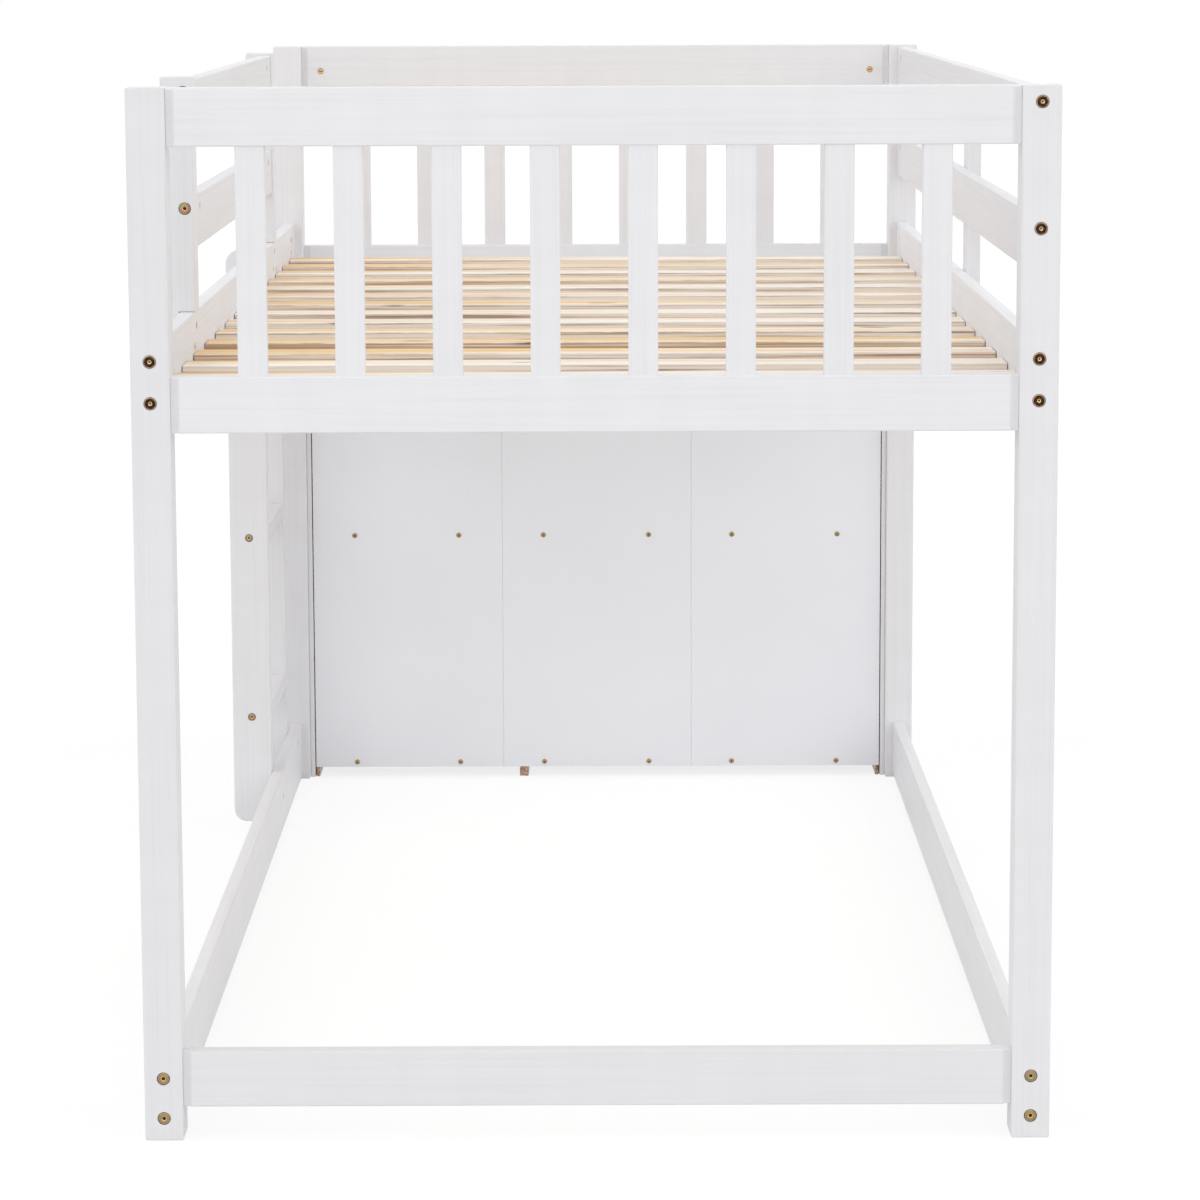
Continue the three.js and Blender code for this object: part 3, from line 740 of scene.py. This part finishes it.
def nut_mesh(name, face):
    """The slotted end of a barrel nut, in its bore, with painted shade on its sides and in its slot.
    """
    r = face / 2
    return turned_mesh(name, [
        ring(r, -1.9 * MM), ring(r, -0.8 * MM), ring(r * 0.90, -0.3 * MM),
        ring(r * 0.70, -0.3 * MM, slot_shape), ring(r * 0.70, -1.3 * MM, slot_shape),
    ], (SHADE_AND_REFLECTION, RIM, GOLD_AND_GLINT, SHADE_AND_REFLECTION, SHADE_AND_REFLECTION))


def dome_screw_mesh(name, head):
    """A domed screw head that stands on the surface, with a cross recess, a painted highlight near
    the top of its dome and painted shade in the recess.
    """
    r = head / 2
    rise = DOME_SCREW_RISE
    dome = [ring(r * math.cos(a), rise * math.sin(a)) for a in (0.25, 0.6, 0.95, 1.15)]
    return turned_mesh(name, [
        ring(r, 0), *dome, ring(r * 0.36, rise * 0.97, cross_shape),
        ring(r * 0.30, rise * 0.30, cross_shape),
    ], (RIM, RIM, YELLOW, YELLOW, GOLD_AND_GLINT, SHADE_AND_REFLECTION, SHADE_AND_REFLECTION))


# Each kind's mesh, and the radius and depth of the seat that its host gets
FITTING_KINDS = {
    "bolt": (bolt_mesh("bolt", BOLT_HEAD, RIM, SHADE_AND_REFLECTION, 0.16),
             BOLT_HEAD / 2 + BOLT_ROOM, BOLT_SEAT_DEPTH),
    "yellow_bolt": (bolt_mesh("yellow_bolt", BOLT_HEAD, SHADE_AND_REFLECTION, YELLOW, 0.28),
                    BOLT_HEAD / 2 + BOLT_ROOM, BOLT_SEAT_DEPTH),
    "small_bolt": (bolt_mesh("small_bolt", SMALL_BOLT_HEAD, SHADE_AND_REFLECTION, YELLOW, 0.28),
                   SMALL_BOLT_HEAD / 2 + BOLT_ROOM, BOLT_SEAT_DEPTH),
    "nut": (nut_mesh("nut", NUT_FACE), NUT_FACE / 2 + NUT_ROOM, NUT_SEAT_DEPTH),
    "dome_screw": (dome_screw_mesh("dome_screw", DOME_SCREW_HEAD), None, None),
}
fittings = []  # kind, place and outward direction of each
seats = {}  # by host piece: place, outward direction, radius and depth of each


def fit(kind, host, point, outward):
    """Puts one fitting on a host piece, its head facing outward."""
    fittings.append((kind, point, outward))
    radius, depth = FITTING_KINDS[kind][1:]
    if radius:
        seats.setdefault(host, []).append((point, outward, radius, depth))


def middle(node):
    """The middle of a CAD node's box."""
    low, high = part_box(node)
    return (low + high) / 2


def place_end_fittings():
    """Bolts through the posts into the long rails and the end rails, and the end rails' nuts."""
    for end, out in (("near", -1), ("far", 1)):
        for hand, side in (("left", -1), ("right", 1)):
            post = f"post_{end}_{hand}"
            low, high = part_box(post)
            host = dressed_name(post)
            face = low.y if out < 0 else high.y
            bolts = [(kind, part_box(f"{rail}_side_rail_{hand}")[0].z + rise)
                     for rail, kind in (("deck", "bolt"), ("low", "yellow_bolt"))
                     for rise in DECK_BOLT_RISES]
            if hand == "right":
                bolts += [("bolt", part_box(f"guard_right_{rail}_rail")[0].z + GUARD_BOLT_RISE)
                          for rail in ("top", "mid")]
            for kind, z in bolts:
                fit(kind, host, (middle(post).x, face, z), (0, out, 0))
            outer = low.x if side < 0 else high.x
            for rail, rise in END_BOLT_RISES.items():
                node = f"{end}_{rail}_rail"
                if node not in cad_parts:
                    continue
                rail_low, rail_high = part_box(node)
                z = rail_low.z + rise
                fit("bolt", host, (outer, middle(node).y, z), (side, 0, 0))
                inner_face = rail_high.y if out < 0 else rail_low.y
                nut_x = (rail_high.x if side > 0 else rail_low.x) - side * END_NUT_FROM_END
                fit("nut", dressed_name(node), (nut_x, inner_face, z), (0, -out, 0))


def place_guard_fittings():
    """Bolts through the guard posts and the upright, and the nuts in the guard rails."""
    for number, out in ((1, -1), (2, 1)):
        post = f"guard_left_post_{number}"
        low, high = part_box(post)
        face = low.y if out < 0 else high.y
        for rail in ("top", "mid"):
            node = f"guard_left_{rail}_rail"
            rail_low, rail_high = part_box(node)
            z = rail_low.z + GUARD_BOLT_RISE
            fit("yellow_bolt", dressed_name(post), (middle(node).x, face, z), (0, out, 0))
            end = rail_low.y if out < 0 else rail_high.y
            fit("nut", dressed_name(node),
                (rail_high.x, end - out * NUT_FROM_END, rail_low.z + GUARD_NUT_RISE), (1, 0, 0))

    for rail in ("top", "mid"):
        node = f"guard_right_{rail}_rail"
        low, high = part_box(node)
        for y in (low.y + NUT_FROM_END, high.y - NUT_FROM_END):
            fit("nut", dressed_name(node), (low.x, y, low.z + GUARD_NUT_RISE), (-1, 0, 0))

    for hand, out in (("left", 1), ("right", -1)):
        node = f"deck_side_rail_{hand}"
        low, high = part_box(node)
        inner = high.x if out > 0 else low.x
        for y in (low.y + NUT_FROM_END, high.y - NUT_FROM_END):
            fit("nut", dressed_name(node), (inner, y, low.z + DECK_NUT_RISE), (out, 0, 0))

    upright = "guard_right_upright"
    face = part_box(upright)[1].x
    y = middle(upright).y
    for node in ("deck_side_rail_right", "guard_right_mid_rail", "guard_right_top_rail"):
        z = middle(node).z + (UPRIGHT_BOLT_OFFSET if node.startswith("deck") else 0)
        fit("bolt", dressed_name(upright), (face, y, z), (1, 0, 0))
    rail_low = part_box("deck_side_rail_right")[0]
    fit("nut", dressed_name("deck_side_rail_right"),
        (rail_low.x, y, rail_low.z + UPRIGHT_NUT_RISE), (-1, 0, 0))


def place_ladder_fittings():
    """Bolts that hold the treads, and those that hold guard posts and ladder to the long rails."""
    for end, out in (("near", -1), ("far", 1)):
        node = f"ladder_stringer_{end}"
        low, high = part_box(node)
        face = low.y if out < 0 else high.y
        for i in LADDER_TREADS:
            z = middle(f"ladder_tread_{i}").z
            fit("small_bolt", dressed_name(node), (middle(node).x, face, z), (0, out, 0))

    rail = "deck_side_rail_left"
    low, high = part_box(rail)
    for node, offset, rise in LEFT_DECK_NUTS:
        y, z = middle(node).y + offset * MM, low.z + rise * MM
        fit("nut", dressed_name(rail), (high.x, y, z), (1, 0, 0))
        if "post" in node:
            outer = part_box(node)[0].x
            fit("small_bolt", dressed_name(node), (outer, y, z), (-1, 0, 0))
    rail = "low_side_rail_left"
    low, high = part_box(rail)
    for node, offset, rise in LEFT_LOW_NUTS:
        y, z = middle(node).y + offset * MM, low.z + rise * MM
        fit("nut", dressed_name(rail), (high.x, y, z), (1, 0, 0))


def place_screws():
    """Three rows of screws in the cabinet's back, along the boards that they hold it to."""
    near_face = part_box("cabinet_back")[0].y
    for held in ("bottom_left", "shelf_left", "top"):
        z = middle(f"cabinet_{held}").z
        for offset in BACK_SCREWS:
            x = middle("cabinet_back").x + offset * MM
            fit("dome_screw", None, (x, near_face, z), (0, -1, 0))


def slat_places():
    """The slats' middles along the bed."""
    low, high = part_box("deck_side_rail_left")
    first, last = low.y + SLAT_FROM_END, high.y - SLAT_FROM_END
    return [first + (last - first) * i / (SLAT_COUNT - 1) for i in range(SLAT_COUNT)]


def make_fittings():
    """A piece for each fitting, turned about its axis by chance."""
    for number, (kind, point, outward) in enumerate(fittings, 1):
        name = f"{kind}_{number:03d}"
        piece = bpy.data.objects.new(name, FITTING_KINDS[kind][0])
        bpy.context.scene.collection.objects.link(piece)
        spin = random.Random(zlib.crc32(name.encode())).uniform(0, math.pi)
        turn = Vector(outward).to_track_quat("Z", "Y").to_matrix().to_4x4()
        piece.matrix_world = Matrix.Translation(point) @ turn @ Matrix.Rotation(spin, 4, "Z")
        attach(piece, "frame")


# The bed's fixed pieces

def make_posts_and_rails():
    for end in ("near", "far"):
        for hand in ("left", "right"):
            node = f"post_{end}_{hand}"
            tone = NEAR_POST_TONES.get(node, FAR_POST_TONE)
            dress_board(node, Z, POST_ROUND, end=POST_END_ROUND, tones=(tone, tone))
    for hand in ("left", "right"):
        for rail in ("deck", "low"):
            dress_board(f"{rail}_side_rail_{hand}", Y, RAIL_ROUND, tones=[LONG_RAIL_TONE] * 2)
        for rail in ("top", "mid"):
            dress_board(f"guard_{hand}_{rail}_rail", Y, RAIL_ROUND, tones=[GUARD_RAIL_TONE] * 2)
    dress_board("guard_right_upright", Z, RAIL_ROUND, end=POST_END_ROUND)
    for i in LADDER_TREADS:
        dress_board(f"ladder_tread_{i}", Y, TREAD_ROUND)


def make_end_rail(node, tone):
    """An end rail, its outline drawn from above: a cove in each face just before the posts."""
    low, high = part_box(node)
    width = END_RAIL_COVE[-1][0]
    cove = [((width - along) * MM, depth * MM) for along, depth in reversed(END_RAIL_COVE)]
    points = [(low.x + from_end, low.y + depth) for from_end, depth in cove]
    points += [(high.x - from_end, low.y + depth) for from_end, depth in reversed(cove)]
    points += [(high.x - from_end, high.y - depth) for from_end, depth in cove]
    points += [(low.x + from_end, high.y - depth) for from_end, depth in reversed(cove)]

    # The cove's faces take the greyer paint: painted shade
    def is_shaded_cove(face):  # a face of the cove, neither flat nor the rail's end
        return 0.03 < abs(face.normal.x) < 0.9 and abs(face.normal.z) < 0.1

    bm = round_edges(prism(points, low.z, high.z, Z), RAIL_ROUND, along=X)
    add_piece(dressed_name(node), bm, WHITE_PAINT, X, replaces=(node,), tones=(tone, tone),
              raw=is_shaded_cove, raw_material=SHADED_COVE_PAINT)


def make_balusters(end, tone):
    chance = random.Random(BALUSTER_SEED)
    for i in range(1, BALUSTERS + 1):
        node = f"{end}_baluster_{i}"
        low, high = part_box(node)
        own = tone + chance.uniform(-BALUSTER_TONE_SPREAD, BALUSTER_TONE_SPREAD)
        board(dressed_name(node), low - Vector((0, 0, TENON)), high + Vector((0, 0, TENON)),
              WHITE_PAINT, Z, BALUSTER_ROUND, end=None, replaces=(node,), tones=(own, own))


def make_guard_post(number):
    """A short post that stands on the long rail, its tongue lapped over the outer face."""
    node = f"guard_left_post_{number}"
    low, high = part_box(node)
    rail_low, rail_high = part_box("deck_side_rail_left")
    notch = (rail_low.x - JOINT_GAP, rail_high.z + JOINT_GAP)
    points = [
        (low.x, low.z), (notch[0], low.z), notch, (high.x, notch[1]),
        (high.x, high.z), (low.x, high.z),
    ]
    bm = round_edges(prism(points, low.y, high.y, Y), RAIL_ROUND)
    add_piece(dressed_name(node), bm, WHITE_PAINT, Z, replaces=(node,),
              tones=[GUARD_POST_TONE] * 2)


def make_stringer(end):
    """A ladder stringer: a board with rounded ends."""
    node = f"ladder_stringer_{end}"
    low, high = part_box(node)
    r = STRINGER_END_RADIUS
    points = []
    for x, z, start in ((high.x - r, low.z + r, -90), (high.x - r, high.z - r, 0),
                        (low.x + r, high.z - r, 90), (low.x + r, low.z + r, 180)):
        for step in range(STRINGER_END_STEPS + 1):
            a = math.radians(start + 90 * step / STRINGER_END_STEPS)
            points.append((x + r * math.cos(a), z + r * math.sin(a)))
    bm = round_edges(prism(points, low.y, high.y, Y), RAIL_ROUND)
    add_piece(dressed_name(node), bm, WHITE_PAINT, Z, replaces=(node,),
              tones=[STRINGER_TONE] * 2)


# A slat's sides and ends, which take the darker pine of painted shade
def sawn_and_shaded_edge(face):
    return abs(face.normal.y) > 0.8 or abs(face.normal.x) > 0.8


def make_slat_deck():
    """The slats, and a ledger along each long rail that carries their ends."""
    node = "slat_deck"
    low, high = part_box(node)
    centre = middle(node).x
    for side, hand in ((-1, "left"), (1, "right")):
        rail_low, rail_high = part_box(f"deck_side_rail_{hand}")
        face = rail_high.x + JOINT_GAP if side < 0 else rail_low.x - JOINT_GAP
        xs = sorted((face, face - side * LEDGER_SIDE))
        board(f"ledger_{hand}", (xs[0], low.y, low.z), (xs[1], high.y, high.z - SLAT_THICKNESS),
              SLAT_PINE, Y, STRIP_ROUND, replaces=(node,), tones=[STRIP_TONE] * 2)
    for number, (y, gold) in enumerate(zip(slat_places(), SLAT_GOLD), 1):
        board(f"slat_{number:02d}",
              (centre - SLAT_LENGTH / 2, y - SLAT_WIDTH / 2, high.z - SLAT_THICKNESS),
              (centre + SLAT_LENGTH / 2, y + SLAT_WIDTH / 2, high.z),
              SLAT_PINE, X, SLAT_ROUND, replaces=(node,),
              tones=[gold + added for added in SLAT_EDGE_TONES],
              drift=SLAT_SHADE_DRIFT, raw=sawn_and_shaded_edge, raw_material=SAWN_AND_SHADED_PINE)


# The cabinet

def make_side_panel(hand, side):
    """A side panel, its outline drawn from above, with the rebate that takes the back."""
    node = f"cabinet_side_{hand}"
    low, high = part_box(node)
    outer = low.x if side < 0 else high.x
    inner = outer - side * PANEL
    rebate = inner + side * REBATE
    seam = rebate - side * SEAM_WIDTH
    rear = low.y + BACK_THICKNESS + BACK_FIT
    points = [(outer, low.y), (outer, high.y), (inner, high.y), (inner, rear), (seam, rear),
              (seam, rear + SEAM_DEPTH), (rebate, rear + SEAM_DEPTH), (rebate, low.y)]
    bm = round_edges(prism(points, low.z, high.z, Z), PANEL_ROUND, steps=FINE_ROUND_STEPS)
    hair = 0.1 * MM

    def is_raw(face):
        in_rebate = ((face.center.x - rebate) * side < hair
                     and (face.center.x - inner) * side > hair
                     and face.center.y < rear + SEAM_DEPTH + hair)
        return in_rebate or face.normal.z < -0.5

    add_piece(dressed_name(node), bm, WHITE_PANEL, Z, replaces=(node,), raw=is_raw)


def panel(node, low, high, raw):
    bm = round_edges(block(low, high), PANEL_ROUND, steps=FINE_ROUND_STEPS)
    grain = Z if node == "cabinet_divider" else X
    add_piece(dressed_name(node), bm, WHITE_PANEL, grain, replaces=(node,), raw=raw)


def raw_behind_and_below(face):
    return face.normal.y < -0.9 or face.normal.z < -0.9


def raw_behind(face):
    return face.normal.y < -0.9


def make_cabinet():
    make_side_panel("left", -1)
    make_side_panel("right", 1)
    low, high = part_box("cabinet_divider")
    panel("cabinet_divider", low, (low.x + PANEL, high.y, high.z), raw_behind_and_below)
    for board_name in ("bottom_left", "bottom_right", "shelf_left", "shelf_right", "top"):
        node = f"cabinet_{board_name}"
        panel(node, *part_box(node), raw_behind)


def make_back():
    """The back: boards of one sheet, drawn from above, parted by grooves in the near face."""
    node = "cabinet_back"
    low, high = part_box(node)
    width = (high.x - low.x) / BACK_BOARDS
    points = [(low.x, low.y)]
    for i in range(1, BACK_BOARDS):
        x = low.x + i * width
        points += [(x - BACK_GROOVE_WIDTH / 2, low.y), (x, low.y + BACK_GROOVE_DEPTH),
                   (x + BACK_GROOVE_WIDTH / 2, low.y)]
    points += [(high.x, low.y), (high.x, high.y), (low.x, high.y)]
    bm = prism(points, low.z, high.z, Z)
    add_piece(dressed_name(node), bm, WHITE_HARDBOARD, X, replaces=(node,))


def make_runners():
    """Each drawer runs on two strips of wood, one on the divider and one on the right side."""
    divider_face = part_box("cabinet_divider")[0].x + PANEL
    side_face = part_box("cabinet_side_right")[1].x - PANEL
    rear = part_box("cabinet_divider")[0].y + RUNNER_REAR_GAP
    for i in range(1, DRAWERS + 1):
        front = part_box(f"drawer_front_{i}")[0].y - RUNNER_FRONT_GAP
        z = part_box(f"drawer_box_{i}")[0].z + RUNNER_RISE
        for hand, (x0, x1), node in (
            ("left", (divider_face, divider_face + RUNNER_REACH), "cabinet_divider"),
            ("right", (side_face - RUNNER_REACH, side_face), "cabinet_side_right"),
        ):
            board(f"runner_{i}_{hand}", (x0, rear, z), (x1, front, z + RUNNER_HEIGHT),
                  DRAWER_PINE, Y, STRIP_ROUND, replaces=(node,), tones=[STRIP_TONE] * 2)


# The drawers

def make_knob(name, x, y, z, body, node):
    """A turned knob that points along +Y."""
    bm = bmesh.new()
    loops = []
    for radius, out in KNOB_OUTLINE:
        r = radius * MM
        loops.append([
            bm.verts.new((x + r * math.cos(a), y + out * MM, z + r * math.sin(a)))
            for a in (2 * math.pi * i / KNOB_POINTS for i in range(KNOB_POINTS))
        ])
    for a, b in zip(loops, loops[1:]):
        for i in range(KNOB_POINTS):
            j = (i + 1) % KNOB_POINTS
            bm.faces.new((a[i], a[j], b[j], b[i]))
    bm.faces.new(loops[0])
    bm.faces.new(loops[-1])
    bmesh.ops.recalc_face_normals(bm, faces=bm.faces)
    knob = add_piece(name, bm, WHITE_PAINT, Y, replaces=(node,), body=body)
    knob.data.set_sharp_from_angle(angle=math.radians(KNOB_SHARP_ANGLE))


def make_drawer(number):
    """A drawer: its front with two knobs, and a box whose sides are grooved for the runners."""
    body = f"drawer_{number}"
    node = f"drawer_front_{number}"
    low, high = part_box(node)
    box_node = f"drawer_box_{number}"
    box_low, box_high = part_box(box_node)
    face = box_high.y + JOINT_GAP + DRAWER_FRONT_THICKNESS
    board(dressed_name(node), low, (high.x, face, high.z), WHITE_PAINT, X, DRAWER_FRONT_ROUND,
          end=DRAWER_FRONT_ROUND, body=body, replaces=(node,))
    z = (low.z + high.z) / 2
    for hand, x in (("left", low.x + KNOB_FROM_EDGE), ("right", high.x - KNOB_FROM_EDGE)):
        make_knob(f"knob_{number}_{hand}", x, face, z, body, node)

    for hand, side, outer in (("left", -1, box_low.x), ("right", 1, box_high.x)):
        inner = outer - side * BOX_SIDE
        groove = outer - side * GROOVE_DEPTH
        groove_low = box_low.z + RUNNER_RISE - GROOVE_BELOW
        groove_high = box_low.z + RUNNER_RISE + RUNNER_HEIGHT + GROOVE_ABOVE
        points = [
            (inner, box_low.z), (outer, box_low.z), (outer, groove_low), (groove, groove_low),
            (groove, groove_high), (outer, groove_high), (outer, box_high.z), (inner, box_high.z),
        ]
        bm = round_edges(prism(points, box_low.y, box_high.y, Y), DRAWER_BOX_ROUND,
                         steps=FINE_ROUND_STEPS)
        add_piece(f"drawer_side_{number}_{hand}", bm, DRAWER_PINE, Y,
                  replaces=(box_node,), body=body)
    inside = (box_low.x + BOX_SIDE, box_high.x - BOX_SIDE)
    for place, y0, y1 in (("rear", box_low.y, box_low.y + BOX_END),
                          ("front", box_high.y - BOX_END, box_high.y)):
        board(f"drawer_{place}_{number}", (inside[0], y0, box_low.z), (inside[1], y1, box_high.z),
              DRAWER_PINE, X, DRAWER_BOX_ROUND, end=None, replaces=(box_node,), body=body)
    floor = box_low.z + BOX_FLOOR_RISE
    board(f"drawer_floor_{number}", (inside[0], box_low.y + BOX_END, floor),
          (inside[1], box_high.y - BOX_END, floor + BOX_FLOOR),
          WHITE_HARDBOARD, X, DRAWER_FLOOR_ROUND, end=None, replaces=(box_node,), body=body)


place_end_fittings()
place_guard_fittings()
place_ladder_fittings()
place_screws()
make_posts_and_rails()
for end, (top_tone, deck_tone) in END_TONES.items():
    make_end_rail(f"{end}_top_rail", top_tone)
    make_end_rail(f"{end}_deck_rail", deck_tone)
    make_balusters(end, top_tone)
make_end_rail("near_low_rail", NEAR_LOW_RAIL_TONE)
for number in (1, 2):
    make_guard_post(number)
for end in ("near", "far"):
    make_stringer(end)
make_slat_deck()
make_cabinet()
make_back()
make_runners()
for number in range(1, DRAWERS + 1):
    make_drawer(number)
make_fittings()
